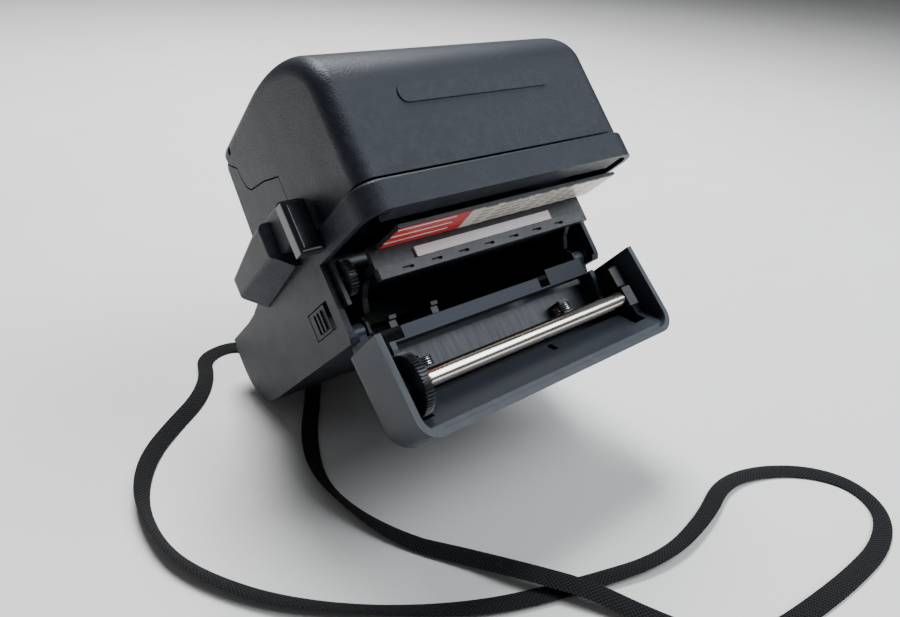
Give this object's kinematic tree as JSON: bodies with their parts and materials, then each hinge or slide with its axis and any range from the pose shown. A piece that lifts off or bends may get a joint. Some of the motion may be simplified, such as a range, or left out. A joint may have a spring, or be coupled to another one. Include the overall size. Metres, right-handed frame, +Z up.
{
  "type": "instant camera",
  "caption": "Box-shaped instant film camera with a hinged flash cover over its lens, a drop-down film door with rollers, side shutter button and a neck strap.",
  "frame": {"origin": "middle of the camera's flat base face", "axes": "+Z up with the camera leaning back 45 degrees about X; +X across the camera, towards its right side as the lens cover is faced; -Y towards the film door"},
  "size_m": [0.2336, 0.254, 0.1511],
  "materials": {
    "shell_plastic": "fine grained, matte",
    "inner_plastic": "smooth satin black",
    "ledge_plastic": "satin",
    "dark_steel": "blackened spring sheet",
    "door_plastic": "satin, scuffed on the exit ramp",
    "gloss_plastic": "polished black",
    "bright_steel": "ground bright",
    "sheet_steel": "rolled sheet",
    "spring_steel": "bright wire",
    "pale_metal": "satin",
    "clear_plastic": "clear",
    "lens_glass": "coated",
    "mirror_face": "polished",
    "printed_label": "red and cream print with no text",
    "pale_plastic": "pinkish white",
    "board_green": "lacquered circuit board",
    "contact_brass": "bright contact leaf",
    "strap_web": "flat woven webbing",
    "gear_plastic": "moulded acetal"
  },
  "bodies": {
    "camera": {"front_frame": "shell_plastic", "upper_housing": "shell_plastic", "lower_housing": "shell_plastic", "side_pod": "shell_plastic", "pod_bracket": "shell_plastic", "lens_board": "inner_plastic", "lens_barrel": "inner_plastic", "taking_lens": "lens_glass", "shutter_plate": "inner_plastic", "viewfinder_tube": "inner_plastic", "viewfinder_window": "clear_plastic", "viewfinder_eyepiece": "clear_plastic", "light_sensor": "lens_glass", "film_chamber": "inner_plastic", "ceiling_panel": "inner_plastic", "chamber_label": "printed_label", "step_face": "inner_plastic", "pale_strip": "pale_plastic", "film_ledge": "ledge_plastic", "hook_tabs": "inner_plastic", "gear_plate": "inner_plastic", "gear_spindles": "sheet_steel", "drive_motor": "sheet_steel", "flash_hinge_pins": "sheet_steel", "door_hinge_pins": "sheet_steel", "circuit_board": "board_green", "mirror": "mirror_face", "battery_contacts": "contact_brass", "counter_window": "clear_plastic", "counter_spindle": "sheet_steel", "strap_lugs": "shell_plastic", "neck_strap": "strap_web", "case_screws": "sheet_steel"},
    "flash_cover": {"front_flash_shell": "shell_plastic", "rear_flash_shell": "shell_plastic", "flash_inner_panel": "inner_plastic", "flash_window": "clear_plastic", "flash_reflector": "pale_metal", "flash_tube": "clear_plastic", "flash_capacitor": "inner_plastic", "cover_mark": "shell_plastic"},
    "film_door": {"door_shell": "door_plastic", "hinge_leaf": "inner_plastic", "roller_frame": "door_plastic", "roller_springs": "spring_steel", "roller_blocks": "inner_plastic", "film_shield": "dark_steel"},
    "geared_roller": {"upper_roller": "bright_steel", "roller_gear": "gear_plastic"},
    "plain_roller": {"lower_roller": "bright_steel"},
    "shutter_key": {"shutter_button": "gloss_plastic"},
    "release_catch": {"door_release": "shell_plastic"},
    "exposure_control": {"exposure_slider": "inner_plastic"},
    "close_up_control": {"close_up_slider": "inner_plastic"},
    "film_pick": {"film_pick_arm": "sheet_steel"},
    "counter": {"film_counter_wheel": "inner_plastic"},
    "shutter": {"shutter_blade": "inner_plastic"},
    "pinion": {"motor_pinion": "gear_plastic"},
    "idler": {"idler_gear": "gear_plastic"},
    "output": {"output_gear": "gear_plastic"}
  },
  "joints": [
    {"name": "film_door_hinge", "type": "hinge", "parent": "camera", "child": "film_door", "pos_m": [0, -0.03253, 0.03818], "axis": [-1, 0, 0], "range_deg": [0, 85]},
    {"name": "flash_cover_hinge", "type": "hinge", "parent": "camera", "child": "flash_cover", "pos_m": [0, 0.0495, 0.07849], "axis": [-1, 0, 0], "range_deg": [0, 78]},
    {"name": "upper_roller_spin", "type": "hinge", "parent": "film_door", "child": "geared_roller", "pos_m": [0, -0.06294, 0.0346], "axis": [1, 0, 0], "continuous": true},
    {"name": "lower_roller_spin", "type": "hinge", "parent": "film_door", "child": "plain_roller", "pos_m": [0, -0.05885, 0.02973], "axis": [1, 0, 0], "continuous": true},
    {"name": "shutter_press", "type": "slide", "parent": "camera", "child": "shutter_key", "axis": [0, 0.7071, -0.7071], "range_m": [0, 0.003], "stiffness_N_per_m": 400},
    {"name": "door_release_slide", "type": "slide", "parent": "camera", "child": "release_catch", "axis": [0, -0.7071, 0.7071], "range_m": [0, 0.003], "stiffness_N_per_m": 400},
    {"name": "exposure_slide", "type": "slide", "parent": "camera", "child": "exposure_control", "axis": [1, 0, 0], "range_m": [-0.008, 0.008]},
    {"name": "close_up_slide", "type": "slide", "parent": "camera", "child": "close_up_control", "axis": [-1, 0, 0], "range_m": [0, 0.0355]},
    {"name": "film_pick_slide", "type": "slide", "parent": "camera", "child": "film_pick", "axis": [0, -0.7071, 0.7071], "range_m": [0, 0.006], "stiffness_N_per_m": 200},
    {"name": "counter_turn", "type": "hinge", "parent": "camera", "child": "counter", "pos_m": [0.034, 0.04455, -0.00354], "axis": [0, 0.7071, 0.7071], "range_deg": [0, 330]},
    {"name": "shutter_swing", "type": "hinge", "parent": "camera", "child": "shutter", "pos_m": [0.014, 0.01372, 0.05982], "axis": [0, 0.7071, -0.7071], "range_deg": [0, 60], "stiffness_Nm_per_rad": 0.006},
    {"name": "idler_spin", "type": "hinge", "parent": "camera", "child": "idler", "pos_m": [-0.0547, -0.01337, 0.05091], "axis": [1, 0, 0], "continuous": true},
    {"name": "motor_spin", "type": "hinge", "parent": "camera", "child": "pinion", "pos_m": [-0.0547, -0.00298, 0.04813], "axis": [1, 0, 0], "continuous": true},
    {"name": "output_spin", "type": "hinge", "parent": "camera", "child": "output", "pos_m": [-0.0547, -0.02602, 0.05629], "axis": [1, 0, 0], "continuous": true}
  ],
  "couplings": [
    {"joint": "lower_roller_spin", "follows": "upper_roller_spin", "ratio": -1},
    {"joint": "motor_spin", "follows": "idler_spin", "ratio": -2.5333},
    {"joint": "output_spin", "follows": "idler_spin", "ratio": -1.2667}
  ]
}
